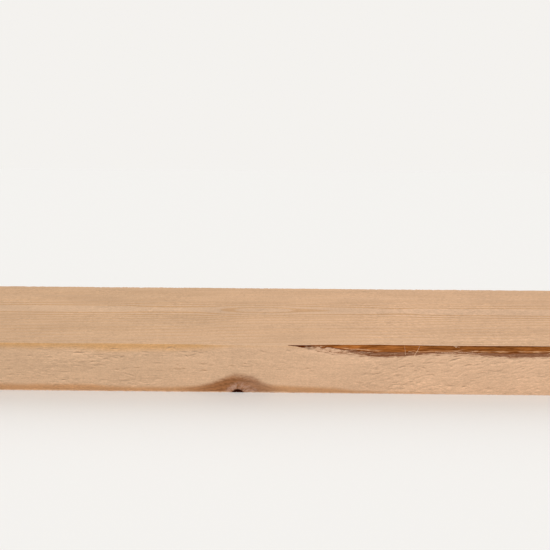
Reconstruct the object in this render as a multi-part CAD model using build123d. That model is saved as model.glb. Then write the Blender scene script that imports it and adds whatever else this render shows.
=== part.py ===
from build123d import *
import math
import os

# A rough-sawn softwood plank lying flat, in millimetres: length along X, width along Y,
# thickness along Z. The origin is the middle of the underside. The narrow face at -Y is the
# one with the knot and the wane, seen with +X to its right.

# Sawn size
length = 2400.0
width = 200.0
thickness = 50.0

# The log's heart, seen along X: how far behind the middle of the width, and above the underside
heart_behind_middle = 4.0
heart_above_underside = 12.0

# Wane: from here to the thin end the saw ran out into the log's round outside
wane_start = 9.0
wane_lead = 51.0  # from its start to its first full depth
wane_first_height = 7.5  # each height is read down the narrow face, from the upper edge
wane_second_height = 9.2
wane_second_along = 39.0  # from the place before it
wane_third_height = 6.8
wane_third_along = 66.0
wane_fourth_height = 8.6
wane_fourth_along = 62.0
wane_end_height = 13.0  # at the plank's thin end

# The log is thicker than the plank's corner by this much, just left of the wane and at the butt
collar_clearance = 2.5
collar_lead = 60.0
butt_clearance = 9.0
log_overrun = 60.0  # how far the log runs past both ends of the plank

# Hole of the knot that fell out, at the lower front edge
knot_from_middle = -38.4
knot_above_underside = -2.1
knot_mouth_radius = 5.4
knot_inner_radius = 4.2
knot_depth = 18.0
knot_breakout = 3.0  # how far the cut for it stands out in front of the narrow face
knot_remains_at_face = 0.8  # thickness, there, of the knot's lowest layer, which stayed in
knot_remains_rise = 10.0  # degrees that this layer's upper side climbs inwards

# Places worked out from the sizes
front = -width / 2
thin_end = length / 2
butt_end = -length / 2
heart = (heart_behind_middle, heart_above_underside)
corner_radius = math.hypot(front - heart[0], thickness - heart[1])


def log_radius(wane_height):
    """Radius at which the round log leaves the narrow face this far below its upper edge."""
    return math.hypot(front - heart[0], thickness - wane_height - heart[1])


def sawn_stock():
    """The plank as it would be with four full edges."""
    return Box(length, width, thickness, align=(Align.CENTER, Align.CENTER, Align.MIN))


def round_log():
    """The log that it was sawn from: its outline in radius, turned about the heart."""
    first = wane_start + wane_lead
    second = first + wane_second_along
    third = second + wane_third_along
    fourth = third + wane_fourth_along
    butt_point = (butt_end - log_overrun, corner_radius + butt_clearance)
    collar_point = (wane_start - collar_lead, corner_radius + collar_clearance)
    last_point = (fourth, log_radius(wane_fourth_height))
    thin_point = (thin_end + log_overrun, log_radius(wane_end_height))
    undulating = [
        collar_point,
        (wane_start, corner_radius),
        (first, log_radius(wane_first_height)),
        (second, log_radius(wane_second_height)),
        (third, log_radius(wane_third_height)),
        last_point,
    ]
    butt_slope = Vector(*collar_point) - Vector(*butt_point)
    thin_slope = Vector(*thin_point) - Vector(*last_point)
    with BuildSketch(Plane.XZ) as half_section:
        with BuildLine():
            Line(butt_point, collar_point)
            Spline(*undulating, tangents=(butt_slope, thin_slope))
            Polyline(last_point, thin_point, (thin_point[0], 0), (butt_point[0], 0), butt_point)
        make_face()
    turned = revolve(half_section.sketch, Axis.X)
    return turned.moved(Location((0, heart[0], heart[1])))


def knot_remains():
    """All that lies below the upper side of the knot's lowest layer."""
    rise = math.radians(knot_remains_rise)
    at_face = (knot_from_middle, front, knot_remains_at_face)
    upper_side = Plane(origin=at_face, z_dir=(0, -math.sin(rise), math.cos(rise)))
    reach = 2 * (knot_depth + knot_mouth_radius + knot_breakout)
    return upper_side * Box(reach, reach, reach, align=(Align.CENTER, Align.CENTER, Align.MAX))


def knot_hole():
    """A tapered hole that follows the branch, from the lower front edge towards the heart."""
    mouth = Vector(knot_from_middle, front, knot_above_underside)
    inward = (Vector(knot_from_middle, heart[0], heart[1]) - mouth).normalized()
    outer = mouth - inward * knot_breakout
    taper = Plane(origin=outer, z_dir=inward)
    cut_length = knot_depth + knot_breakout
    bore = Cone(
        knot_mouth_radius,
        knot_inner_radius,
        cut_length,
        align=(Align.CENTER, Align.CENTER, Align.MIN),
    )
    return taper * bore - knot_remains()


def plank():
    return (sawn_stock() & round_log()) - knot_hole()


os.makedirs("parts", exist_ok=True)
export_step(plank(), "parts/plank.step")
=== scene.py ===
import bmesh
import bpy
import math
import random
from mathutils import Matrix, Vector, noise


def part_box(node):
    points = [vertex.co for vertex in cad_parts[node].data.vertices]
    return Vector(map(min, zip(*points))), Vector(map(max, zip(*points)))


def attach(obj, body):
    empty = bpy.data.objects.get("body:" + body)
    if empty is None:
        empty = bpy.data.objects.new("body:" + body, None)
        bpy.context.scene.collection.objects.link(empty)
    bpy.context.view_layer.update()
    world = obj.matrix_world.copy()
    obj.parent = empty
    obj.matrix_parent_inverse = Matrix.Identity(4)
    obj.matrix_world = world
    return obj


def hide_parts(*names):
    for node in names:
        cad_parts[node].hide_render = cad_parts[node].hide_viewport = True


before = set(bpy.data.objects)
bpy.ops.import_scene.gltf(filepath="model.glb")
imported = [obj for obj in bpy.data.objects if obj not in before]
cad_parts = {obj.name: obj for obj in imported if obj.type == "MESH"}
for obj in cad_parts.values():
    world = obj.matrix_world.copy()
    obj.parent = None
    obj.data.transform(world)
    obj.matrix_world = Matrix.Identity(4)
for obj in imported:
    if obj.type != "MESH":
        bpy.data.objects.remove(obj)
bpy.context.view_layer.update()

mm = 0.001
boxLow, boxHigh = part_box("plank")
frontY, backY = boxLow.y, boxHigh.y
topZ = boxHigh.z
halfLength = boxHigh.x


def smoothStep(low, high, value):
    t = min(max((value - low) / (high - low), 0.0), 1.0)
    return t * t * (3 - 2 * t)


def noiseAt(x, y, z, scaleX, scaleY, scaleZ, seed=0.0):
    # signed noise whose blobs are about scaleX by scaleY by scaleZ
    return noise.noise(Vector((x / scaleX + seed, y / scaleY + seed, z / scaleZ - seed)))


# camera: the photograph's height, distance and angles, fitted to the plank's two long edges
cameraSettings = {
    "focalPixels": 431.0,
    "imagePixels": 550.0,
    "sensor": 36.0,
    "distance": 381.0 * mm,   # from the narrow face
    "height": 213.8 * mm,
    "pitchDown": 14.0,
    "turnLeft": 0.40,
    "tilt": 0.37,
}


def buildCamera(s):
    pitch, turn, tilt = (math.radians(s[k]) for k in ("pitchDown", "turnLeft", "tilt"))
    ahead = math.cos(pitch)
    forward = Vector((-math.sin(turn) * ahead, math.cos(turn) * ahead, -math.sin(pitch)))
    level = Vector((math.cos(turn), math.sin(turn), 0))
    right = level * math.cos(tilt) + level.cross(forward) * math.sin(tilt)
    up = right.cross(forward)
    data = bpy.data.cameras.new("photoCamera")
    data.sensor_width = s["sensor"]
    data.lens = s["focalPixels"] / s["imagePixels"] * s["sensor"]
    data.clip_start, data.clip_end = 0.01, 100
    camera = bpy.data.objects.new("photoCamera", data)
    bpy.context.collection.objects.link(camera)
    turned = Matrix((right, up, -forward)).transposed()
    place = Vector((0, frontY - s["distance"], s["height"]))
    camera.matrix_world = Matrix.Translation(place) @ turned.to_4x4()
    bpy.context.scene.camera = camera


buildCamera(cameraSettings)
print("camera placed")


# small helpers for shader nodes, each returns an output socket
def feed(tree, socket, value):
    if isinstance(value, bpy.types.NodeSocket):
        tree.links.new(value, socket)
    elif isinstance(value, (tuple, list)) and len(value) == 3 and socket.type == "RGBA":
        socket.default_value = (*value, 1.0)
    else:
        socket.default_value = value


def calc(tree, operation, *values):
    made = tree.nodes.new("ShaderNodeMath")
    made.operation = operation
    for socket, value in zip(made.inputs, values):
        feed(tree, socket, value)
    return made.outputs[0]


def plus(tree, first, *others):
    for value in others:
        first = calc(tree, "ADD", first, value)
    return first


def less(tree, first, second):
    return calc(tree, "SUBTRACT", first, second)


def times(tree, first, *others):
    for value in others:
        first = calc(tree, "MULTIPLY", first, value)
    return first


def ranged(tree, value, fromLow, fromHigh, toLow=0.0, toHigh=1.0, smooth=True):
    made = tree.nodes.new("ShaderNodeMapRange")
    made.interpolation_type = "SMOOTHSTEP" if smooth else "LINEAR"
    for socket, given in zip(made.inputs, (value, fromLow, fromHigh, toLow, toHigh)):
        feed(tree, socket, given)
    return made.outputs[0]


def unsigned(tree, value):
    return calc(tree, "ABSOLUTE", value)


def rooted(tree, first, second):
    # the long side of a right triangle
    return calc(tree, "SQRT", plus(tree, times(tree, first, first), times(tree, second, second)))


def hump(tree, value, middle, reach):
    # 1 at the middle, easing to 0 at the reach on both sides
    return ranged(tree, unsigned(tree, less(tree, value, middle)), 0, reach, 1, 0)


def coursed(tree, value, course):
    # a smooth curve through given (place, amount) pairs
    places, amounts = zip(*course)
    lowest, highest = min(amounts), max(amounts)
    made = tree.nodes.new("ShaderNodeFloatCurve")
    feed(tree, made.inputs["Value"], ranged(tree, value, places[0], places[-1], smooth=False))
    points = made.mapping.curves[0].points
    for place, amount in course[1:-1]:
        points.new((place - places[0]) / (places[-1] - places[0]), 0.5)
    for point, (place, amount) in zip(points, course):
        share = (amount - lowest) / (highest - lowest)
        point.location = ((place - places[0]) / (places[-1] - places[0]), share)
    made.mapping.update()
    return ranged(tree, made.outputs[0], 0, 1, lowest, highest, smooth=False)


def blended(tree, amount, first, second, mode="MIX"):
    made = tree.nodes.new("ShaderNodeMix")
    made.data_type = "RGBA"
    made.blend_type = mode
    feed(tree, made.inputs[0], amount)
    feed(tree, made.inputs[6], first)
    feed(tree, made.inputs[7], second)
    return made.outputs[2]


def shaded(tree, colour, factor):
    # a colour times a plain number
    return blended(tree, 1.0, colour, factor, "MULTIPLY")


def stretched(tree, vector, size, shift, turn):
    # millimetre coordinates divided by a grain size, so that noise of scale 1 has blobs that big
    turned = vector
    if any(turn):
        rotated = tree.nodes.new("ShaderNodeMapping")
        feed(tree, rotated.inputs["Vector"], vector)
        rotated.inputs["Rotation"].default_value = [math.radians(a) for a in turn]
        turned = rotated.outputs[0]
    made = tree.nodes.new("ShaderNodeMapping")
    feed(tree, made.inputs["Vector"], turned)
    made.inputs["Scale"].default_value = [1 / side for side in size]
    made.inputs["Location"].default_value = (shift, shift * 0.7, -shift)
    return made.outputs[0]


def noisy(tree, vector, detail=2.0, roughness=0.5):
    made = tree.nodes.new("ShaderNodeTexNoise")
    feed(tree, made.inputs["Vector"], vector)
    made.inputs["Scale"].default_value = 1.0
    made.inputs["Detail"].default_value = detail
    made.inputs["Roughness"].default_value = roughness
    return made.outputs["Fac"]


def blobs(tree, place, size, shift=0.0, detail=2.0, roughness=0.5, turn=(0, 0, 0)):
    # noise whose blobs have this size in millimetres, turned by these degrees about X, Y and Z
    return noisy(tree, stretched(tree, place, size, shift, turn), detail, roughness)


def swung(tree, pattern, amount):
    # a noise pattern runs about a half, this swings by the amount about nought
    return times(tree, less(tree, pattern, 0.5), amount)


def joined(tree, x, y, z):
    made = tree.nodes.new("ShaderNodeCombineXYZ")
    for socket, value in zip(made.inputs, (x, y, z)):
        feed(tree, socket, value)
    return made.outputs[0]


def attributeOf(tree, name):
    made = tree.nodes.new("ShaderNodeAttribute")
    made.attribute_name = name
    return made.outputs["Fac"]


def newMaterial(name):
    made = bpy.data.materials.new(name)
    made.use_nodes = True
    tree = made.node_tree
    return made, tree, tree.nodes["Principled BSDF"]


# floor and light
studioSettings = {
    "floorSize": 60.0,
    "floorColour": (0.82, 0.81, 0.79),
    "floorRoughness": 0.95,
    "skyColour": (1.0, 1.0, 1.0),
    "skyStrength": 0.52,
    "seenBackground": (0.905, 0.887, 0.860),
    "lampDistance": 3.0,
    "lamps": (
        # name, height in degrees, turn from straight in front to the left, strength, softness, colour
        ("frontSoftLight", 40, 25, 1.76, 40, (1.0, 0.985, 0.965)),
        ("rearSoftLight", 46, 165, 1.00, 50, (0.985, 0.99, 1.0)),
    ),
}


def buildStudio(s):
    bm = bmesh.new()
    bmesh.ops.create_grid(bm, x_segments=1, y_segments=1, size=s["floorSize"] / 2)
    mesh = bpy.data.meshes.new("floor")
    bm.to_mesh(mesh)
    bm.free()
    floor = bpy.data.objects.new("floor", mesh)
    bpy.context.collection.objects.link(floor)
    material, tree, shader = newMaterial("paleFloor")
    shader.inputs["Base Color"].default_value = (*s["floorColour"], 1)
    shader.inputs["Roughness"].default_value = s["floorRoughness"]
    shader.inputs["Specular IOR Level"].default_value = 0.0
    mesh.materials.append(material)

    world = bpy.data.worlds.new("studioSky")
    world.use_nodes = True
    bpy.context.scene.world = world
    tree = world.node_tree
    background = tree.nodes["Background"]
    seen = tree.nodes.new("ShaderNodeBackground")
    seen.inputs["Color"].default_value = (*s["seenBackground"], 1)
    background.inputs["Color"].default_value = (*s["skyColour"], 1)
    background.inputs["Strength"].default_value = s["skyStrength"]
    rays = tree.nodes.new("ShaderNodeLightPath")
    either = calc(tree, "MAXIMUM", rays.outputs["Is Camera Ray"], rays.outputs["Is Glossy Ray"])
    chosen = tree.nodes.new("ShaderNodeMixShader")
    tree.links.new(either, chosen.inputs[0])
    tree.links.new(background.outputs[0], chosen.inputs[1])
    tree.links.new(seen.outputs[0], chosen.inputs[2])
    tree.links.new(chosen.outputs[0], tree.nodes["World Output"].inputs["Surface"])

    for name, height, turn, strength, softness, colour in s["lamps"]:
        lamp = bpy.data.lights.new(name, "SUN")
        lamp.angle = math.radians(softness)
        lamp.energy = strength
        lamp.color = colour
        holder = bpy.data.objects.new(name, lamp)
        bpy.context.collection.objects.link(holder)
        rise, side = math.radians(height), math.radians(turn)
        level = math.cos(rise)
        place = Vector((-math.sin(side) * level, -math.cos(side) * level, math.sin(rise)))
        facing = (-place).to_track_quat("-Z", "Y").to_matrix().to_4x4()
        holder.matrix_world = Matrix.Translation(place * s["lampDistance"]) @ facing


buildStudio(studioSettings)
print("floor and lights ready")


# the plank's own mesh: the sawn box with its wane, worn arrises and torn grain
plankSettings = {
    "frontRows": 92,
    "topRows": 22,
    "bottomRows": 8,
    "backRows": 6,
    "firstTopRow": 0.9 * mm,
    # a wedge torn out at the wane's start, its near-black colour painted shade in the crevice: place along
    # the plank, depth below the top
    "wedgeCourse": (
        (8.0, 0.0), (12.0, 0.7), (17.0, 1.3), (21.0, 2.1), (24.0, 2.7), (26.5, 2.6), (29.0, 1.6),
        (32.0, 0.9), (33.5, 0.0),
    ),
    "windowHalf": 282.0 * mm,      # the stretch that the camera sees has the finest mesh
    "windowStations": 540,
    "outerStations": 70,           # at each end
    "heartY": 4.0 * mm,            # the round log's centre behind the wane
    "heartZ": 12.0 * mm,
    # where the wane's lower edge runs on the narrow face: place along the plank, depth below the top
    "waneCourse": ((9.0, 0.0), (60.0, 7.5), (99.0, 9.2), (165.0, 6.8), (227.0, 8.6), (1200.0, 12.7)),
    "waneRagged": 0.75 * mm,
    "arrisWear": 0.26 * mm,
    "sawWaviness": 0.16 * mm,
    "barkRelief": 0.45 * mm,
    "barkStep": 0.40 * mm,         # the lower strip of the wane has lost its last layer of bark
    "wedgeInto": 0.7 * mm,
    "wedgeRagged": 0.25 * mm,
    "roughness": 0.05 * mm,
    "wearReach": 1.2 * mm,         # how far the arrises' wear reaches from them
    "topWander": 0.6,              # share of the saw's wander on the top face
    "undersideRoughness": 0.3,
    "undersideWear": 0.25,
}
onSide = 0.999          # a corner of the unit box that is this far out lies on that side
fullEdge = 1.9          # an edge of it that is longer runs all along it
farFromWane = -2.0      # the wane value of all that is nowhere near it

# grain torn out of the narrow face by the saw: place along, height above the underside, length,
# rise to the right in degrees, strength
tornGrain = (
    (-190, 40.7, 13, 0, 1.0), (-178, 31.4, 6, 0, 0.9), (-172, 38.5, 12, 3, 0.6), (-170, 36.7, 4, -8, 0.8),
    (-180, 35.6, 3, 0, 0.6), (-165, 34.4, 7, 0, 0.6), (-155, 35.7, 7, 0, 0.6), (-149, 36.7, 5, 26, 0.8),
    (-156, 45.0, 9, 0, 0.6), (-175, 27.5, 6, 0, 0.5), (-155, 23.3, 6, 0, 0.8), (-208, 11.8, 8, -2, 0.8),
    (-210, 39.9, 3, 0, 0.5), (-198, 25.6, 3, 0, 0.5), (-143, 18.0, 14, -16, 0.5), (-103, 46.4, 7, 18, 0.8),
    (-97, 48.0, 4, 3, 0.5), (-98, 45.9, 3, -10, 0.7), (-79, 43.0, 6, 5, 0.6), (-73, 44.0, 3, 0, 0.5),
    (-87, 38.2, 4, -20, 1.0), (-81, 39.4, 10, 12, 0.7), (-80, 37.5, 5, 0, 0.7), (-73, 41.8, 6, -3, 0.6),
    (-63, 28.8, 7, -3, 0.5), (-96, 29.1, 3, 0, 0.6), (-90, 25.0, 3, 10, 0.5), (-70, 23.0, 6, 3, 0.7),
    (96, 21.3, 12, 14, 0.6), (108, 16.0, 4, 15, 0.6), (119, 28.6, 10, 16, 0.7), (127, 31.8, 8, 8, 0.6),
    (130, 29.3, 5, 15, 0.6), (133, 25.0, 3, 28, 0.7), (146, 33.5, 11, 12, 0.8), (141, 28.0, 5, -10, 0.7),
    (145, 24.2, 3, 5, 1.0), (129, 13.0, 7, 15, 0.8), (132, 15.5, 2, 20, 0.6), (121, 9.3, 5, -8, 0.5),
    (170, 37.0, 14, 17, 1.0), (167, 29.8, 3, -5, 0.8), (183, 31.2, 8, 10, 0.9), (195, 28.5, 7, 7, 0.7),
    (198, 36.2, 8, 28, 0.5), (181, 8.8, 4, 5, 0.9), (167, 9.5, 8, -8, 0.6), (173, 19.0, 3, 20, 0.5),
    (205, 7.7, 4, 0, 0.6),
)

# stretches of the narrow face that have many small tears besides: from, to, lowest, highest, how
# many, rise in degrees, how much the rise varies
tornStretches = (
    (80, 262, 4, 41, 84, 14, 8),
    (-262, -110, 10, 46, 30, 2, 5),
    (-110, 75, 22, 45, 18, 4, 6),
)

# how a tear is cut, in millimetres; fibres stand up a little below it and less above it; its hollow is
# painted darker as painted shade and its raised fibres paler as painted highlight
tearSettings = {
    "seed": 11,
    "lengths": (3.0, 12.0),
    "strengths": (0.15, 0.65),
    "binLength": 20,
    "wander": 0.5,
    "widest": 3.0,              # nothing is torn or raised farther from its line
    "reach": 0.65,
    "fringeAway": 1.3,
    "fringeBelow": 0.7,
    "fringeAbove": 0.6,
    "fringeAboveShare": 0.4,
    "depth": 0.75,
    "fringeHeight": 0.14,
    "fringeHighlight": 0.55,
}


def allTears(s):
    # the photographed tears with small ones scattered between them, sorted into bins along the plank
    random.seed(s["seed"])
    marks = list(tornGrain)
    for fromX, toX, lowest, highest, count, rise, varying in tornStretches:
        for _ in range(count):
            marks.append((
                random.uniform(fromX, toX), random.uniform(lowest, highest), random.uniform(*s["lengths"]),
                random.gauss(rise, varying), random.uniform(*s["strengths"]),
            ))
    bins = {}
    for mark in marks:
        for shift in (-1, 0, 1):
            bins.setdefault(int(mark[0] // s["binLength"]) + shift, []).append(mark)
    return bins


def tornDepth(x, z, bins, s):
    # how deep the grain is torn here, less what its loose fibres stand up, in millimetres
    deep, raised = 0.0, 0.0
    for markX, markZ, markLength, rise, strength in bins.get(int(x // (s["binLength"] * mm)), ()):
        along = (x / mm - markX) / (markLength / 2)
        if abs(along) > 1:
            continue
        up = z / mm - markZ - (x / mm - markX) * math.tan(math.radians(rise))
        up += s["wander"] * noiseAt(x, z, 0, 3 * mm, 3 * mm, 1, markX)
        if abs(up) > s["widest"]:
            continue
        share = (1 - along * along) * strength
        below = math.exp(-((up + s["fringeAway"]) / s["fringeBelow"]) ** 2)
        above = math.exp(-((up - s["fringeAway"]) / s["fringeAbove"]) ** 2)
        deep = max(deep, share * math.exp(-(up / s["reach"]) ** 2))
        raised = max(raised, share * below, s["fringeAboveShare"] * share * above)
    return deep, raised


def waneDepth(x):
    # how far below the top edge the log's round outside meets the narrow face at this place
    course = plankSettings["waneCourse"]
    if x <= course[0][0] * mm:
        return 0.0
    depth = course[-1][1] * mm
    for (startX, startDepth), (endX, endDepth) in zip(course, course[1:]):
        if x <= endX * mm:
            depth = (startDepth + (endDepth - startDepth) * smoothStep(startX, endX, x / mm)) * mm
            break
    ragged = noiseAt(x, 0, 0, 11 * mm, 1, 1, 4.4) + 0.6 * noiseAt(x, 0, 0, 3.2 * mm, 1, 1, 8.2)
    return depth + plankSettings["waneRagged"] * ragged * smoothStep(0, 3 * mm, depth)


def wedgeDepth(x):
    course = plankSettings["wedgeCourse"]
    for (startX, startDepth), (endX, endDepth) in zip(course, course[1:]):
        if startX * mm <= x <= endX * mm:
            return (startDepth + (endDepth - startDepth) * (x / mm - startX) / (endX - startX)) * mm
    return 0.0


def logRadius(depth, s):
    return math.hypot(frontY - s["heartY"], topZ - depth - s["heartZ"])


def rindShare(outward, depth, s):
    # share of the way across the wane, 0 at its edge on the narrow face, 1 at the top face
    low = math.atan2(topZ - depth - s["heartZ"], s["heartY"] - frontY)
    high = math.asin((topZ - s["heartZ"]) / logRadius(depth, s))
    angle = math.atan2(outward.z, -outward.y)
    return min(max((angle - low) / max(high - low, 0.001), -2.0), 3.0)


def stationPlace(share, s):
    # share runs from -1 to 1 along the evenly cut box, dense in the middle and wider to the ends
    total = s["windowStations"] + 2 * s["outerStations"]
    steps = abs(share) * total / 2
    windowSteps = s["windowStations"] / 2
    step = s["windowHalf"] / windowSteps
    beyond = max(steps - windowSteps, 0.0)
    growth = (halfLength - s["windowHalf"] - step * s["outerStations"]) / s["outerStations"] ** 2
    place = min(steps, windowSteps) * step + beyond * step + beyond ** 2 * growth
    return math.copysign(place, share)


def topPlace(share, s):
    # share runs from 0 at the front edge to 1 at the back, with the finest rows at the front
    rows = share * s["topRows"]
    growth = (backY - frontY - s["firstTopRow"] * s["topRows"]) / s["topRows"] ** 2
    return frontY + rows * s["firstTopRow"] + rows ** 2 * growth


def openBox(s):
    # a box without ends, its four sides cut into rows and its length into stations
    bm = bmesh.new()
    bmesh.ops.create_cube(bm, size=2.0)
    ends = [f for f in bm.faces if abs(f.normal.x) > 0.5]
    bmesh.ops.delete(bm, geom=ends, context="FACES_ONLY")

    def cutSide(axis, side, along, rows):
        edges = [
            e for e in bm.edges
            if all(v.co[axis] * side > onSide for v in e.verts)
            and abs(e.verts[0].co[along] - e.verts[1].co[along]) > fullEdge
        ]
        bmesh.ops.subdivide_edges(bm, edges=edges, cuts=rows - 1, use_grid_fill=True)

    cutSide(1, -1, 2, s["frontRows"])
    cutSide(2, 1, 1, s["topRows"])
    cutSide(2, -1, 1, s["bottomRows"])
    cutSide(1, 1, 2, s["backRows"])
    stations = s["windowStations"] + 2 * s["outerStations"]
    lengthwise = [e for e in bm.edges if abs(e.verts[0].co.x - e.verts[1].co.x) > fullEdge]
    bmesh.ops.subdivide_edges(bm, edges=lengthwise, cuts=stations - 1, use_grid_fill=True)
    for end in (-1, 1):
        rim = [e for e in bm.edges if all(v.co.x * end > onSide for v in e.verts)]
        bmesh.ops.contextual_create(bm, geom=rim)
    return bm


def buildPlank(s, tears):
    bm = openBox(s)
    bins = allTears(tears)
    waneLayer = bm.verts.layers.float.new("wane")
    rindLayer = bm.verts.layers.float.new("rind")
    tornShadeLayer = bm.verts.layers.float.new("tornShadeAndHighlight")
    wedgeLayer = bm.verts.layers.float.new("shadedWedge")
    for v in bm.verts:
        shareX, shareY, shareZ = v.co
        onFront, onBack = shareY < -onSide, shareY > onSide
        onTop, onUnderside = shareZ > onSide, shareZ < -onSide
        x = stationPlace(shareX, s)
        z = boxLow.z + (shareZ + 1) / 2 * (topZ - boxLow.z)
        y = topPlace((shareY + 1) / 2, s) if onTop else frontY + (shareY + 1) / 2 * (backY - frontY)

        # the log's round outside replaces the corner where the wane is
        outward = Vector((0, y - s["heartY"], z - s["heartZ"]))
        depth = waneDepth(x)
        pulled, rind = farFromWane, 0.0
        if depth > 0:
            radius = logRadius(depth, s)
            pulled = max((outward.length - radius) / mm, farFromWane)
            rind = rindShare(outward, depth, s)
        isWane = smoothStep(0.02, 0.35, pulled)
        if pulled > 0:
            bark = noiseAt(x, y, z, 14 * mm, 2.2 * mm, 2.2 * mm, 3.1)
            bark += 0.6 * noiseAt(x, y, z, 5 * mm, 1.1 * mm, 1.1 * mm, 7.7)
            bared = smoothStep(0.62, 0.46, rind + 0.12 * bark) * smoothStep(3 * mm, 6 * mm, depth)
            relief = isWane * (s["barkRelief"] * (0.55 + 0.6 * bark) + s["barkStep"] * bared)
            outward *= (radius - relief) / outward.length
            y, z = outward.y + s["heartY"], outward.z + s["heartZ"]

        # the saw's slow wander, then ragged and slightly worn arrises
        inward = Vector((0, 0, 0))
        wave = s["sawWaviness"] * (0.5 + 0.5 * noiseAt(x, y, z, 60 * mm, 30 * mm, 30 * mm))
        rough = s["roughness"] * (1 + noiseAt(x, y, z, 5 * mm, 1.4 * mm, 1.4 * mm, 5.0))
        if onFront:
            inward.y += wave + rough
        elif onBack:
            inward.y -= wave + rough
        if onTop:
            inward.z -= wave * s["topWander"] + rough
        elif onUnderside:
            inward.z += rough * s["undersideRoughness"]
        toSide = min(y - frontY, backY - y)
        toFace = min(z - boxLow.z, topZ - z)
        reach = s["wearReach"]
        if toSide < reach and toFace < reach and isWane < 0.5:
            nicks = 1.6 * max(noiseAt(x, y, z, 4 * mm, 30 * mm, 30 * mm, 1.0), 0)
            nicks += 1.2 * noiseAt(x, y, z, 1.6 * mm, 30 * mm, 30 * mm, 9.0)
            near = (1 - toSide / reach) * (1 - toFace / reach)
            wear = s["arrisWear"] * (1 + nicks) * near
            inward.y += math.copysign(wear, -y)
            inward.z += wear * (s["undersideWear"] if z < topZ / 2 else -1)

        tornShadeAndHighlight, hollow = 0.0, 0.0
        if onFront:
            deep, raised = tornDepth(x, z, bins, tears)
            kept = 1 - isWane
            inward.y += (tears["depth"] * deep - tears["fringeHeight"] * raised) * mm * kept
            # the tear's hollow is marked for painted shade, its raised fibres for painted highlight
            tornShadeAndHighlight = (deep - tears["fringeHighlight"] * raised) * kept
            # the torn wedge is set back a little and marked where its painted shade goes
            shadedWedge = wedgeDepth(x) + s["wedgeRagged"] * noiseAt(x, 0, 0, 2.5 * mm, 1, 1, 3.0)
            hollow = smoothStep(0, 0.5 * mm, z - (topZ - shadedWedge)) if shadedWedge > 0.3 * mm else 0.0
            inward.y += s["wedgeInto"] * hollow
        v.co = Vector((x, y, z)) + inward
        v[waneLayer] = pulled
        v[rindLayer] = rind
        v[tornShadeLayer] = tornShadeAndHighlight
        v[wedgeLayer] = hollow
    bmesh.ops.recalc_face_normals(bm, faces=bm.faces)
    mesh = bpy.data.meshes.new("sawnPlank")
    bm.to_mesh(mesh)
    bm.free()
    plank = bpy.data.objects.new("sawnPlank", mesh)
    bpy.context.collection.objects.link(plank)
    return plank


# the hole where the knot fell out, cut along the branch towards the heart
knotSettings = {
    "along": -38.4 * mm,
    "height": -2.1 * mm,
    "mouthRadius": 5.4 * mm,
    "innerRadius": 4.2 * mm,
    "depth": 18.0 * mm,
    "standOut": 3.0 * mm,
    "shadeRemainsAtFace": 0.8 * mm,    # the knot's lowest layer stayed in the hole and rises inwards, a dark layer standing in for the shade in the hole
    "shadeRemainsRise": 10.0,
    "segments": 40,
    "rings": 12,
    "ragged": 0.10,               # share of the radius
    "sliver": 0.01 * mm,          # edges at the mouth that are shorter are dissolved
}


def cutKnotHole(plank, s):
    heart = Vector((s["along"], plankSettings["heartY"], plankSettings["heartZ"]))
    mouth = Vector((s["along"], frontY, s["height"]))
    inward = (heart - mouth).normalized()
    full = s["depth"] + s["standOut"]
    bm = bmesh.new()
    bmesh.ops.create_cone(
        bm, cap_ends=True, segments=s["segments"], radius1=s["mouthRadius"], radius2=s["innerRadius"],
        depth=full)
    sides = [e for e in bm.edges if abs(e.verts[0].co.z - e.verts[1].co.z) > full / 2]
    bmesh.ops.subdivide_edges(bm, edges=sides, cuts=s["rings"], use_grid_fill=True)
    for v in bm.verts:
        angle = math.atan2(v.co.y, v.co.x)
        ragged = noiseAt(math.cos(angle), math.sin(angle), v.co.z, 0.7, 0.7, 6 * mm, 2.0)
        ragged = 1 + s["ragged"] * ragged
        v.co.x *= ragged
        v.co.y *= ragged
    turn = inward.to_track_quat("Z", "Y").to_matrix().to_4x4()
    middle = mouth + inward * (full / 2 - s["standOut"])
    bmesh.ops.transform(bm, matrix=Matrix.Translation(middle) @ turn, verts=bm.verts)
    # the hole stops short of the underside, which stays closed as a dark layer standing in for the shade in
    # it
    rise = math.radians(s["shadeRemainsRise"])
    cut = bmesh.ops.bisect_plane(
        bm, geom=bm.verts[:] + bm.edges[:] + bm.faces[:], clear_inner=True,
        plane_co=(s["along"], frontY, s["shadeRemainsAtFace"]), plane_no=(0, -math.sin(rise), math.cos(rise)))
    rim = [e for e in cut["geom_cut"] if isinstance(e, bmesh.types.BMEdge)]
    bmesh.ops.contextual_create(bm, geom=rim)
    bmesh.ops.recalc_face_normals(bm, faces=bm.faces)
    mesh = bpy.data.meshes.new("branchCutter")
    bm.to_mesh(mesh)
    bm.free()
    cutter = bpy.data.objects.new("branchCutter", mesh)
    bpy.context.collection.objects.link(cutter)
    boolean = plank.modifiers.new("knotHole", "BOOLEAN")
    boolean.operation = "DIFFERENCE"
    boolean.solver = "EXACT"
    boolean.object = cutter
    applied = bpy.data.meshes.new_from_object(plank.evaluated_get(bpy.context.evaluated_depsgraph_get()))
    plank.modifiers.clear()
    plank.data = applied
    applied.name = "sawnPlank"
    bpy.data.objects.remove(cutter)
    # the cut leaves thin slivers at its mouth, and its corners have no wane value yet
    bm = bmesh.new()
    bm.from_mesh(applied)
    nearMouth = [e for e in bm.edges if (e.verts[0].co - mouth).length < 4 * s["mouthRadius"]]
    bmesh.ops.dissolve_degenerate(bm, dist=s["sliver"], edges=nearMouth)
    waneLayer = bm.verts.layers.float["wane"]
    for v in bm.verts:
        if v.co.x < 0:
            v[waneLayer] = farFromWane
    bm.to_mesh(applied)
    bm.free()


plank = buildPlank(plankSettings, tearSettings)
print("plank meshed", len(plank.data.polygons), "faces")
cutKnotHole(plank, knotSettings)
print("knot hole cut", len(plank.data.polygons), "faces")


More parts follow.
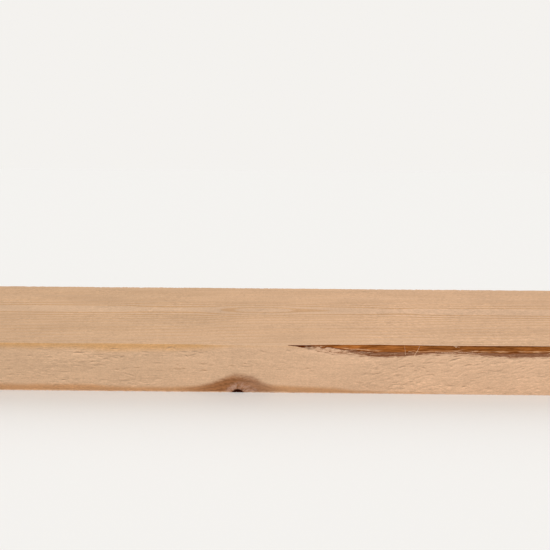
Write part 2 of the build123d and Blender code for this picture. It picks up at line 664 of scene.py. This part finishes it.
# loose fibres that lie along the wane's lower edge, and the sawdust flakes seen on the narrow face
fibreSettings = {
    # from and to, each along the plank and above the underside; thickness; how far it stands off
    "seen": (
        (122.0, 41.4, 121.2, 49.8, 0.16, 0.5), (130.6, 40.4, 135.9, 49.8, 0.23, 0.7),
        (125.0, 44.6, 131.2, 43.1, 0.15, 0.3), (144.5, 42.0, 158.0, 44.0, 0.20, 0.3),
        (156.0, 44.0, 171.0, 42.2, 0.20, 0.3), (172.0, 44.2, 190.0, 43.4, 0.16, 0.35),
        (181.0, 43.0, 194.0, 42.8, 0.14, 0.3), (168.0, 49.9, 173.5, 48.6, 0.30, 0.4),
        (33.0, 44.9, 47.0, 46.6, 0.12, 0.3), (43.0, 43.9, 58.0, 45.4, 0.14, 0.35),
        (54.0, 43.6, 76.0, 45.2, 0.13, 0.3), (62.0, 45.0, 84.0, 45.7, 0.11, 0.3),
    ),
    # the others are scattered along the wane's lower edge, the first of them close to its start
    "seed": 23,
    "count": 130,
    "countAtStart": 26,
    "atStart": (30, 90),
    "elsewhere": (60, 1188),
    "lengths": (4, 13),
    "rise": (3, 5),             # degrees, and how much it varies
    "thicknesses": (0.05, 0.12),
    "standOffs": (0.1, 0.35),
    "rooted": 0.12,             # how far both tips are inside the surface
    "pale": -0.35,              # as the tears' painted shade and highlight value, less than 0 is paler
    # place along the plank and height above the underside
    "flakes": (
        (17.9, 37.1), (37.0, 39.4), (9.6, 17.2), (39.9, 7.9), (45.8, 3.7), (161.4, 4.9), (170.2, 48.9),
        (172.0, 41.8), (41.5, 48.6),
    ),
    "flakeSeed": 5,
    "flakeLong": (0.45, 0.7),
    "flakeWide": (0.3, 0.5),
    "flakeThick": 0.16,
    "flakeInto": 0.14,
    "flakeRagged": 0.2 * mm,
    "flakePale": -1.3,
}


def frontSurface(x, z, s):
    # the plank's front at this place: its narrow face, or the log's round outside at the wane
    depth = waneDepth(x)
    if depth <= 0:
        return frontY
    inside = logRadius(depth, s) ** 2 - (z - s["heartZ"]) ** 2
    return max(frontY, s["heartY"] - math.sqrt(inside))


def fibreMesh():
    bm = bmesh.new()
    bmesh.ops.create_cone(bm, cap_ends=True, segments=5, radius1=1.0, radius2=0.25, depth=1.0)
    sides = [e for e in bm.edges if abs(e.verts[0].co.z - e.verts[1].co.z) > 0.5]
    bmesh.ops.subdivide_edges(bm, edges=sides, cuts=6, use_grid_fill=True)
    mesh = bpy.data.meshes.new("fibre")
    bm.to_mesh(mesh)
    bm.free()
    return mesh


def allFibres(s):
    random.seed(s["seed"])
    fibres = list(s["seen"])
    lastX, lastZ = halfLength / mm - 1, topZ / mm - 0.2
    for n in range(s["count"]):
        x = random.uniform(*(s["atStart"] if n < s["countAtStart"] else s["elsewhere"]))
        z = topZ / mm - waneDepth(x * mm) / mm + random.uniform(-0.6, 1.8)
        long, rise = random.uniform(*s["lengths"]), math.radians(random.gauss(*s["rise"]))
        toX, toZ = min(x + long * math.cos(rise), lastX), min(z + long * math.sin(rise), lastZ)
        fibres.append((x, z, toX, toZ, random.uniform(*s["thicknesses"]), random.uniform(*s["standOffs"])))
    return fibres


def addLooseBits(plank, s):
    bm = bmesh.new()
    bm.from_mesh(plank.data)
    waneLayer, tornShadeLayer = bm.verts.layers.float["wane"], bm.verts.layers.float["tornShadeAndHighlight"]
    template = fibreMesh()
    for fromX, fromZ, toX, toZ, thick, standOff in allFibres(s):
        firstNew = len(bm.verts)
        bm.from_mesh(template)
        bm.verts.ensure_lookup_table()
        along = Vector((toX - fromX, 0, toZ - fromZ)).normalized()
        side = Vector((-along.z, 0, along.x))
        for v in bm.verts[firstNew:]:
            share = v.co.z + 0.5
            x, z = fromX + (toX - fromX) * share, fromZ + (toZ - fromZ) * share
            bowed = math.sin(math.pi * share)
            y = frontSurface(x * mm, z * mm, plankSettings) / mm
            y += s["rooted"] - (standOff + s["rooted"]) * bowed
            middle = Vector((x, max(y, frontY / mm + thick * 0.9), z + 0.5 * bowed))
            v.co = (middle + Vector((0, 1, 0)) * v.co.x * thick + side * v.co.y * thick) * mm
            v.co.z = min(v.co.z, topZ)
            v[waneLayer], v[tornShadeLayer] = farFromWane, s["pale"]
    bpy.data.meshes.remove(template)

    random.seed(s["flakeSeed"])
    upright = Matrix.Rotation(math.radians(90), 4, "X")
    for x, z in s["flakes"]:
        y = frontSurface(x * mm, z * mm, plankSettings) / mm + s["flakeInto"]
        long, wide = random.uniform(*s["flakeLong"]), random.uniform(*s["flakeWide"])
        flat = Matrix.Diagonal((long, wide, s["flakeThick"], 1))
        turn = Matrix.Rotation(random.uniform(0, math.pi), 4, "Z")
        matrix = Matrix.Scale(mm, 4) @ Matrix.Translation((x, y, z)) @ upright @ turn @ flat
        made = bmesh.ops.create_icosphere(bm, subdivisions=2, radius=1.0, matrix=matrix)
        for v in made["verts"]:
            ragged = noiseAt(*v.co, 0.5 * mm, 0.5 * mm, 0.5 * mm, 6.0)
            v.co += Vector((1, 0, 1)) * s["flakeRagged"] * ragged
            v[waneLayer], v[tornShadeLayer] = farFromWane, s["flakePale"]
    bm.to_mesh(plank.data)
    bm.free()


# bare sawn softwood, a solid pattern about the log's heart, in millimetres
woodSettings = {
    "earlyWood": (0.615, 0.405, 0.255),
    "pinkWood": (0.672, 0.435, 0.278),
    "lateWoodLow": (0.525, 0.285, 0.142),
    "lateWoodHigh": (0.590, 0.335, 0.150),
    "lateWoodTop": (0.530, 0.290, 0.130),
    # the ring centre's height and how much the outermost ring gives way, along the plank
    "heartHeights": (
        (-260, 26), (-190, 26), (-160, 24.5), (-112, 24.4), (-84, 25.2), (-55, 27.5), (-14, 29), (21, 27.6),
        (55, 26.6), (88, 26.0), (117, 25.3), (146, 24.5), (168, 25.5), (260, 26),
    ),
    "ringGivesWay": (
        (-260, 0), (-190, 0), (-160, 0.06), (-112, 0.14), (-84, 0.15), (-55, 0.34), (-14, 0.5), (50, 0.5),
        (88, 1.0), (146, 1.0), (168, 1.55), (260, 1.6),
    ),
    "ringsNearHeart": 0.182,    # rings in each millimetre
    "ringsGrowth": 0.000534,
    "ringShift": 0.40,
    "givingWay": (98, 104),     # the radius where the rings begin to give way, and where they fully do
    "outermost": (102.5, 104.5),
    "plainBand": (103.2, 103.8, 104.0, 104.6),  # early wood alone, eased at both ends
    "wornEdgeHighlight": (0.760, 0.505, 0.340),
    "pith": (0.250, 0.120, 0.055),
    "checkShade": (0.120, 0.055, 0.028),
    "checkDirections": 11,
    "longestCheck": 44.0,       # from the pith
    # noise patterns, each with its blobs' size, then shift, detail, roughness and turn in degrees
    "slow": ((420, 160, 160), 0.0, 1.0),
    "mild": ((70, 22, 22), 4.0),
    "fine": ((16, 3.5, 3.5), 8.0),
    "mottle": ((110, 30, 18), 2.0, 3.0),
    "streak": ((34, 0.9, 0.9), 6.0, 3.0, 0.6),
    "patch": ((9.0, 2.4, 1.4), 12.0, 3.0, 0.6),
    "fuzz": ((4.6, 0.8, 0.7), 3.0, 3.0, 0.7),
    "fuzzyPlaces": ((48, 30, 11), 27.0),
    "slanting": ((15, 1.6, 1.3), 33.0, 3.0, 0.65, (0, 14, 0)),
    "grains": ((1.5, 0.9, 0.8), 41.0, 1.0),
    "ticks": ((8.5, 0.9, 0.9), 21.0, 2.0, 0.5, (0, 9, 7)),
    "tickPlaces": ((60, 30, 16), 17.0, 1.0),
    "sawnEnd": ((9, 1.1, 6.0), 31.0, 3.0, 0.6, (25, 0, 0)),
    "sawMarks": 1.35,           # radians of the saw's ripple in each millimetre
    "specular": 0.03,
    "bumpStrength": 0.6,
    "bumpDistance": 0.40 * mm,
}

# colours about the fallen knot and how far its bulge of grain reaches
haloSettings = {
    # along the plank from the knot: how far up the bulge reaches, and how strong its brown is
    "outline": (
        (-60, 6.0), (-42, 9.4), (-29, 13.0), (-18.6, 17.4), (-9, 22.0), (0, 24.4), (6, 23.8),
        (13.4, 22.0), (26, 15.2), (37.4, 10.6), (43.4, 8.6), (60, 6.0),
    ),
    "strengths": (
        (-60, 0), (-44, 0.45), (-30, 0.85), (-18, 1.0), (0, 1.0), (14, 0.95), (26, 0.75), (38, 0.35),
        (52, 0),
    ),
    "wobble": ((11, 8, 5), 1.5),        # noise patterns, as the wood's
    "tight": ((3.4, 2.2, 1.6), 9.5, 3.0),
    "paleReach": (15.5, 9.5),   # from the branch's axis to where the pale streaks begin and are full
    "goldenBrown": (0.300, 0.128, 0.052),
    "greyBrown": (0.295, 0.143, 0.075),
    "paleInside": (0.465, 0.276, 0.196),
    "rim": (0.150, 0.062, 0.030),
    "hole": (0.045, 0.009, 0.003),
    "core": (0.190, 0.085, 0.040),
}

# what is left of the inner bark on the wane, from its lower edge to the top face: bare torn
# fibres, a grey layer, then rust-brown bark
# all the wane's colours are set darker than the bark's own: painted shade over the whole wane
waneSettings = {
    # the share of the wane's breadth where the bare fibres end and where the rust begins
    "bareBelow": (
        (9, 0.0), (25, 0.05), (32, 0.50), (38, 0.64), (43.5, 0.42), (48, 0.64), (55, 0.56), (63, 0.32),
        (69, 0.14), (80, -0.02), (98, -0.14), (130, -0.12), (146, 0.0), (165, 0.0), (190, -0.04),
        (225, -0.12), (262, -0.10),
    ),
    "rustAbove": (
        (9, 0.0), (24, 0.05), (31, 0.58), (38, 0.70), (43.5, 0.48), (48, 0.70), (56, 0.62), (67, 0.40),
        (98, 0.30), (128, 0.26), (138, 0.12), (150, 0.15), (190, 0.18), (209, 0.24), (262, 0.28),
    ),
    "rustDark": (0.190, 0.052, 0.008),
    "rustLight": (0.430, 0.148, 0.034),
    "seam": (0.150, 0.040, 0.008),
    "greyDark": (0.175, 0.076, 0.038),
    "greyLight": (0.300, 0.140, 0.076),
    "bareDark": (0.300, 0.140, 0.066),
    "bareLight": (0.690, 0.455, 0.300),
    "paleFibre": (0.600, 0.330, 0.170),
    "shadedWedge": (0.095, 0.018, 0.002),
    "fringe": (0.720, 0.470, 0.310),
    "barkStarts": (25, 30),     # along the plank
    "lip": ((66, 84), (128, 112)),      # from nothing to full, at either end
    "longFibre": ((58, 66), (102, 93)),
    "shortFibres": (100, 112),
    # noise patterns, as the wood's
    "slivers": ((17, 1.3, 1.0), 1.0, 3.0, 0.6, (0, 6, 0)),
    "fine": ((5, 0.7, 0.6), 5.0, 3.0, 0.65),
    "fibrous": ((19, 0.9, 0.62), 14.0, 3.0, 0.6, (0, 8, 0)),
    "banded": ((15, 1.0, 0.9), 4.2, 3.0, 0.6, (0, 2, 0)),
    "slow": ((45, 9, 9), 2.6),
}


def woodCoordinates(tree):
    coordinates = tree.nodes.new("ShaderNodeTexCoord")
    scaled = tree.nodes.new("ShaderNodeVectorMath")
    scaled.operation = "SCALE"
    tree.links.new(coordinates.outputs["Object"], scaled.inputs[0])
    scaled.inputs["Scale"].default_value = 1 / mm
    parted = tree.nodes.new("ShaderNodeSeparateXYZ")
    tree.links.new(scaled.outputs[0], parted.inputs[0])
    return scaled.outputs[0], *parted.outputs


def behindFront(tree, y, near, far):
    # 0 on the narrow face and 1 inside the plank, eased between two depths behind that face
    return ranged(tree, y, frontY / mm + near, frontY / mm + far)


def ringPattern(tree, place, x, y, z, s):
    # 1 in late wood and 0 in early wood, with the distance from the heart that it is drawn by
    sideways = less(tree, y, plankSettings["heartY"] / mm)
    upward = less(tree, z, coursed(tree, x, s["heartHeights"]))
    far = ranged(tree, unsigned(tree, x), 240, 800, 0.6, 5.0)
    radius = plus(
        tree, rooted(tree, sideways, upward), swung(tree, blobs(tree, place, *s["slow"]), far),
        swung(tree, blobs(tree, place, *s["mild"]), 0.8), swung(tree, blobs(tree, place, *s["fine"]), 0.35))
    giving = times(tree, coursed(tree, x, s["ringGivesWay"]), ranged(tree, radius, *s["givingWay"]))
    drawn = less(tree, radius, giving)
    perMillimetre = plus(tree, times(tree, drawn, s["ringsGrowth"]), s["ringsNearHeart"])
    rings = plus(tree, times(tree, drawn, perMillimetre), s["ringShift"])
    phase = calc(tree, "FRACT", rings)
    chance = tree.nodes.new("ShaderNodeTexWhiteNoise")
    chance.noise_dimensions = "1D"
    tree.links.new(calc(tree, "FLOOR", rings), chance.inputs["W"])
    outermost = ranged(tree, drawn, *s["outermost"])
    # the outermost ring begins earlier and more softly, above all near the top
    upper = times(tree, outermost, ranged(tree, z, 34, 42))
    start = less(tree, ranged(tree, outermost, 0, 1, 0.60, 0.44, smooth=False), times(tree, upper, 0.08))
    softness = ranged(tree, outermost, 0, 1, 0.16, 0.26, smooth=False)
    full = plus(tree, start, softness, times(tree, upper, 0.20))
    strength = ranged(tree, chance.outputs["Value"], 0, 1, 0.55, 1.0, smooth=False)
    strength = calc(tree, "MAXIMUM", strength, outermost)
    begins, fromHere, toHere, ends = s["plainBand"]
    plain = times(tree, ranged(tree, radius, begins, fromHere), ranged(tree, drawn, ends, toHere))
    late = times(
        tree, ranged(tree, phase, start, full), ranged(tree, phase, 0.94, 1.0, 1.0, 0.0), strength,
        less(tree, 1.0, plain))
    return late, radius, sideways, upward


def branchPlace(tree, x, y, z):
    # along the plank from the fallen knot, out along its branch, and across the branch
    heart = Vector((plankSettings["heartY"], plankSettings["heartZ"])) / mm
    mouth = Vector((frontY, knotSettings["height"])) / mm
    outDirection = (mouth - heart).normalized()
    fromHeartY, fromHeartZ = less(tree, y, heart.x), less(tree, z, heart.y)
    along = less(tree, x, knotSettings["along"] / mm)
    out = plus(tree, times(tree, fromHeartY, outDirection.x), times(tree, fromHeartZ, outDirection.y))
    across = less(tree, times(tree, fromHeartY, outDirection.y), times(tree, fromHeartZ, outDirection.x))
    return along, out, across, (mouth - heart).length


def withKnot(tree, place, x, y, z, colour, s):
    along, out, across, full = branchPlace(tree, x, y, z)
    wobble = blobs(tree, place, *s["wobble"])
    tight = blobs(tree, place, *s["tight"])
    along = plus(tree, along, swung(tree, wobble, 5.0))
    away = unsigned(tree, across)
    tall = times(tree, coursed(tree, along, s["outline"]), calc(tree, "DIVIDE", out, full))
    uneven = plus(tree, swung(tree, wobble, 0.16), swung(tree, tight, 0.20))
    level = plus(tree, calc(tree, "DIVIDE", away, calc(tree, "MAXIMUM", tall, 0.2)), uneven)
    rho = rooted(tree, along, across)
    angle = calc(tree, "ARCTAN2", away, along)

    # the outer brown bulge, weaker to the right
    strength = coursed(tree, along, s["strengths"])
    bulge = times(tree, ranged(tree, level, 1.06, 0.66), strength)
    brown = blended(tree, ranged(tree, along, -8, 16), s["goldenBrown"], s["greyBrown"])
    brown = shaded(tree, brown, ranged(tree, tight, 0.25, 0.75, 0.86, 1.16))
    arcs = noisy(tree, joined(tree, times(tree, level, 9.0), times(tree, angle, 0.8), 3.0), 2.0)
    brown = shaded(tree, brown, ranged(tree, arcs, 0.32, 0.68, 0.84, 1.18))
    colour = blended(tree, bulge, colour, brown)

    # paler streaks that radiate inside it, then the dark rim, and the hole's walls painted near black as
    # painted shade
    rays = noisy(tree, joined(tree, times(tree, angle, 4.6), times(tree, rho, 0.17), 0.0), 3.0, 0.62)
    wide = times(tree, along, ranged(tree, along, -2, 2, 1.05, 0.68))
    inside = times(
        tree, ranged(tree, rooted(tree, wide, across), *s["paleReach"]),
        ranged(tree, rays, 0.40, 0.64, 0.08, 1.0), ranged(tree, level, 0.68, 0.46))
    colour = blended(tree, inside, colour, s["paleInside"])
    coarse = plus(tree, rho, swung(tree, rays, 1.2))
    rimEdge = knotSettings["mouthRadius"] / mm
    # the branch starts at the heart, so nothing of it is behind that
    present = ranged(tree, out, 0, 6)
    rimmed = times(tree, ranged(tree, coarse, rimEdge + 1.3, rimEdge + 0.2, 0, 0.85), present)
    colour = blended(tree, rimmed, colour, s["rim"])
    # within the hole's length its walls take the near-black painted shade, beyond that the knot's core
    # colour
    holeLength = knotSettings["depth"] / mm
    deep = ranged(tree, out, full - holeLength - 4, full - holeLength + 1)
    middle = blended(tree, deep, s["core"], s["hole"])
    thick = ranged(tree, out, 0, full, 0.5, rimEdge + 0.1, smooth=False)
    core = times(tree, ranged(tree, less(tree, rho, thick), 0.25, -0.15), present)
    return blended(tree, core, colour, middle)


def withWane(tree, place, x, colour, s):
    wane, rind = attributeOf(tree, "wane"), attributeOf(tree, "rind")
    slivers, fine = blobs(tree, place, *s["slivers"]), blobs(tree, place, *s["fine"])
    fibrous, banded = blobs(tree, place, *s["fibrous"]), blobs(tree, place, *s["banded"])
    slow = blobs(tree, place, *s["slow"])

    # where there is bark, with a torn edge
    signed = plus(
        tree, wane, ranged(tree, x, 50, 95, 0.52, 0.76), swung(tree, slivers, 0.85), swung(tree, fine, 0.35))
    sides = ranged(tree, unsigned(tree, x), halfLength / mm - 0.2, halfLength / mm - 0.4)
    started = times(tree, sides, ranged(tree, x, *s["barkStarts"]))
    mask = times(tree, ranged(tree, signed, 0.0, 0.12), ranged(tree, wane, -1.25, -1.0), started)

    # its three strips, which wander past the camera's stretch
    wander = swung(tree, slow, ranged(tree, x, 240, 330))
    bareBelow = plus(tree, coursed(tree, x, s["bareBelow"]), times(tree, wander, 0.6))
    rustAbove = plus(tree, coursed(tree, x, s["rustAbove"]), times(tree, wander, 0.9))
    across = plus(tree, rind, swung(tree, slivers, 0.34))
    streaks = plus(tree, times(tree, banded, 0.75), times(tree, fine, 0.25))
    rust = blended(tree, ranged(tree, streaks, 0.36, 0.62), s["rustDark"], s["rustLight"])
    rust = shaded(tree, rust, ranged(tree, slow, 0.35, 0.65, 0.88, 1.12))
    rust = shaded(tree, rust, ranged(tree, x, 120, 150, 1.0, 0.76))
    # painted shade: the rust darkens along the wane's top edge
    rust = shaded(tree, rust, ranged(tree, rind, 0.86, 0.97, 1.0, 0.66))
    grey = blended(tree, ranged(tree, fine, 0.32, 0.68), s["greyDark"], s["greyLight"])
    bare = blended(tree, ranged(tree, fibrous, 0.43, 0.53), s["bareDark"], s["bareLight"])
    aboveSeam = less(tree, across, rustAbove)
    bark = blended(tree, ranged(tree, aboveSeam, -0.03, 0.03), grey, rust)
    seam = times(tree, hump(tree, aboveSeam, 0.0, 0.09), ranged(tree, x, 96, 112, 0.95, 0.60))
    bark = blended(tree, seam, bark, s["seam"])

    # the grey layer's torn lower lip casts a thin dark line
    lip = hump(tree, plus(tree, across, swung(tree, fine, 0.10)), -0.02, 0.07)
    lip = times(tree, ranged(tree, x, *s["lip"][0]), ranged(tree, x, *s["lip"][1]), lip, 0.75)
    bark = blended(tree, lip, bark, s["seam"])

    # one long pale fibre above the seam where the wane is widest, then short lengths of others
    long = times(tree, ranged(tree, x, *s["longFibre"][0]), ranged(tree, x, *s["longFibre"][1]))
    short = times(tree, ranged(tree, slow, 0.42, 0.50), ranged(tree, x, *s["shortFibres"]))
    fibre = times(tree, hump(tree, aboveSeam, 0.15, 0.09), calc(tree, "MAXIMUM", long, short), 0.90)
    bark = blended(tree, fibre, bark, s["paleFibre"])
    ragged = plus(tree, across, swung(tree, fibrous, 0.5))
    bark = blended(tree, ranged(tree, less(tree, ragged, bareBelow), 0.03, -0.05), bark, bare)
    # painted shade: the wane darkens towards its start
    bark = shaded(tree, bark, ranged(tree, x, 28, 40, 0.60, 1.0))
    colour = blended(tree, mask, colour, bark)
    # the torn wedge at the wane's start is painted near black: painted shade in its crevice
    shadedWedge = plus(tree, attributeOf(tree, "shadedWedge"), swung(tree, fine, 0.5))
    colour = blended(tree, ranged(tree, shadedWedge, 0.35, 0.65), colour, s["shadedWedge"])

    # a pale fringe of loosened wood just below it
    frayed = times(
        tree, ranged(tree, wane, -1.40, -0.80), less(tree, 1.0, mask), started,
        ranged(tree, fine, 0.42, 0.60), 0.7)
    return blended(tree, frayed, colour, s["fringe"]), mask, slivers


def withTears(tree, place, x, y, colour, s):
    # small tears where the mesh has none: past the camera's stretch and on the other faces
    ticks, places = blobs(tree, place, *s["ticks"]), blobs(tree, place, *s["tickPlaces"])
    past = ranged(tree, unsigned(tree, x), 250, 300)
    elsewhere = calc(tree, "MAXIMUM", past, behindFront(tree, y, 1.0, 4.0))
    often = ranged(tree, places, 0.40, 0.62, 0.74, 0.655)
    tick = times(tree, ranged(tree, less(tree, ticks, often), 0.0, 0.05), elsewhere)
    # each tick is painted darker: painted shade in its pit
    return shaded(tree, colour, ranged(tree, tick, 0, 1, 1.0, 0.72)), tick


def withEndGrain(tree, place, x, colour, late, radius, sideways, upward, s):
    # the sawn ends are darker, with clear rings, a pith and short checks that run out from it, the checks
    # painted near black as painted shade in their cracks
    atEnd = ranged(tree, unsigned(tree, x), halfLength / mm - 0.5, halfLength / mm - 0.2)
    rough = blobs(tree, place, *s["sawnEnd"])
    # unevenly spaced directions from the pith, each with a check of its own length or none
    count = s["checkDirections"]
    level = calc(tree, "MAXIMUM", radius, 1.0)
    outY, outZ = calc(tree, "DIVIDE", sideways, level), calc(tree, "DIVIDE", upward, level)
    facing = joined(tree, outY, outZ, times(tree, x, 0.01))
    turns = times(tree, calc(tree, "ARCTAN2", upward, sideways), count / (2 * math.pi))
    turns = plus(tree, turns, times(tree, noisy(tree, facing, 1.0), 2.2))
    turns = plus(tree, turns, calc(tree, "DIVIDE", times(tree, rough, 0.5), level))
    drawn = tree.nodes.new("ShaderNodeTexWhiteNoise")
    drawn.noise_dimensions = "2D"
    number = calc(tree, "MODULO", plus(tree, calc(tree, "FLOOR", turns), 2 * count), count)
    tree.links.new(joined(tree, number, calc(tree, "SIGN", x), 0), drawn.inputs["Vector"])
    reach = ranged(tree, drawn.outputs["Value"], 0.25, 1.0, 0.0, s["longestCheck"], smooth=False)
    left = less(tree, reach, radius)
    middle = unsigned(tree, less(tree, calc(tree, "FRACT", turns), 0.5))
    thin = calc(tree, "DIVIDE", times(tree, ranged(tree, left, 0, 25, 0.12, 0.40), 1.75), level)
    checks = times(tree, ranged(tree, middle, thin, 0.0), ranged(tree, left, 0, 3))
    grain = shaded(tree, colour, ranged(tree, rough, 0.3, 0.7, 0.72, 0.90))
    grain = shaded(tree, grain, ranged(tree, late, 0, 1, 1.0, 0.84))
    grain = blended(tree, ranged(tree, radius, 3.2, 1.8), grain, s["pith"])
    grain = blended(tree, times(tree, checks, 0.8), grain, s["checkShade"])
    return blended(tree, atEnd, colour, grain), times(tree, atEnd, checks)


def woodMaterial(s):
    material, tree, shader = newMaterial("sawnSoftwood")
    place, x, y, z = woodCoordinates(tree)
    late, radius, sideways, upward = ringPattern(tree, place, x, y, z, s)
    mottle, streak = blobs(tree, place, *s["mottle"]), blobs(tree, place, *s["streak"])
    patch, fuzz = blobs(tree, place, *s["patch"]), blobs(tree, place, *s["fuzz"])

    # early and late wood
    pink = ranged(tree, plus(tree, x, times(tree, mottle, 160)), -120, 260)
    early = blended(tree, pink, s["earlyWood"], s["pinkWood"])
    lateColour = blended(tree, ranged(tree, z, 14, 42), s["lateWoodLow"], s["lateWoodHigh"])
    lateColour = blended(tree, behindFront(tree, y, 0.5, 3.0), lateColour, s["lateWoodTop"])
    colour = blended(tree, late, early, lateColour)
    colour = shaded(tree, colour, ranged(tree, mottle, 0.3, 0.7, 0.95, 1.05))
    colour = shaded(tree, colour, ranged(tree, streak, 0.3, 0.7, 0.955, 1.04))

    # rough in places, and calmer in the middle of the camera's stretch
    fuzzy = ranged(tree, blobs(tree, place, *s["fuzzyPlaces"]), 0.40, 0.62, 0.40, 1.15)
    calm = times(tree, ranged(tree, x, -130, -90), ranged(tree, x, 95, 60))
    fuzzy = times(tree, fuzzy, ranged(tree, calm, 0, 1, 1.0, 0.62))
    uneven = plus(tree, swung(tree, patch, 0.42), swung(tree, fuzz, 0.92))
    colour = shaded(tree, colour, plus(tree, 1.0, times(tree, uneven, fuzzy)))
    # to the right the grain climbs and its rough fibres slant with it
    slanted = swung(tree, blobs(tree, place, *s["slanting"]), ranged(tree, x, 55, 115))
    colour = shaded(tree, colour, plus(tree, 1.0, times(tree, slanted, 0.50)))
    colour = withKnot(tree, place, x, y, z, colour, haloSettings)
    grains = blobs(tree, place, *s["grains"])
    colour = shaded(tree, colour, ranged(tree, grains, 0.25, 0.75, 0.92, 1.08))

    # tears with painted shade and highlight, the worn lower edge with a painted highlight, the wane and the
    # two ends
    # painted shade in the tears' hollows and painted highlight on their raised fibres; the loose fibres and
    # sawdust flakes are paler
    tornShadeAndHighlight = attributeOf(tree, "tornShadeAndHighlight")
    colour = shaded(tree, colour, ranged(tree, tornShadeAndHighlight, -0.6, 0.9, 1.20, 0.55, smooth=False))
    colour, tick = withTears(tree, place, x, y, colour, s)
    # the worn lower arris painted paler: a painted highlight along it as well as wear
    fromKnot = unsigned(tree, less(tree, x, knotSettings["along"] / mm))
    wornHighlight = times(
        tree, ranged(tree, z, 1.5, 0.8), ranged(tree, fuzz, 0.38, 0.52, 0.25, 0.8),
        ranged(tree, fromKnot, 6, 11), less(tree, 1.0, behindFront(tree, y, 1.4, 2.4)))
    colour = blended(tree, wornHighlight, colour, s["wornEdgeHighlight"])
    colour, bark, slivers = withWane(tree, place, x, colour, waneSettings)
    colour, checks = withEndGrain(tree, place, x, colour, late, radius, sideways, upward, s)

    tree.links.new(colour, shader.inputs["Base Color"])
    shader.inputs["Specular IOR Level"].default_value = s["specular"]
    tree.links.new(ranged(tree, streak, 0.2, 0.8, 0.72, 0.9), shader.inputs["Roughness"])

    # relief too fine for the mesh
    sawn = calc(tree, "SINE", plus(tree, times(tree, x, s["sawMarks"]), times(tree, mottle, 9.0)))
    height = plus(
        tree, times(tree, streak, 0.5), times(tree, fuzz, 0.8, fuzzy), times(tree, patch, 0.5, fuzzy),
        times(tree, slanted, 1.1), times(tree, slivers, bark, 2.0),
        times(tree, sawn, behindFront(tree, y, 0.5, 2.0), 0.10))
    height = less(tree, height, times(tree, plus(tree, tick, checks), 1.2))
    bump = tree.nodes.new("ShaderNodeBump")
    bump.inputs["Strength"].default_value = s["bumpStrength"]
    bump.inputs["Distance"].default_value = s["bumpDistance"]
    tree.links.new(height, bump.inputs["Height"])
    tree.links.new(bump.outputs["Normal"], shader.inputs["Normal"])
    return material


addLooseBits(plank, fibreSettings)
plank.data.shade_smooth()
plank.data.set_sharp_from_angle(angle=math.radians(38))
print("fibres and flakes added", len(plank.data.polygons), "faces")

plank.data.materials.clear()
plank.data.materials.append(woodMaterial(woodSettings))
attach(plank, "root")
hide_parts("plank")
print("wood finished")

scene = bpy.context.scene
scene.view_settings.view_transform = "Standard"
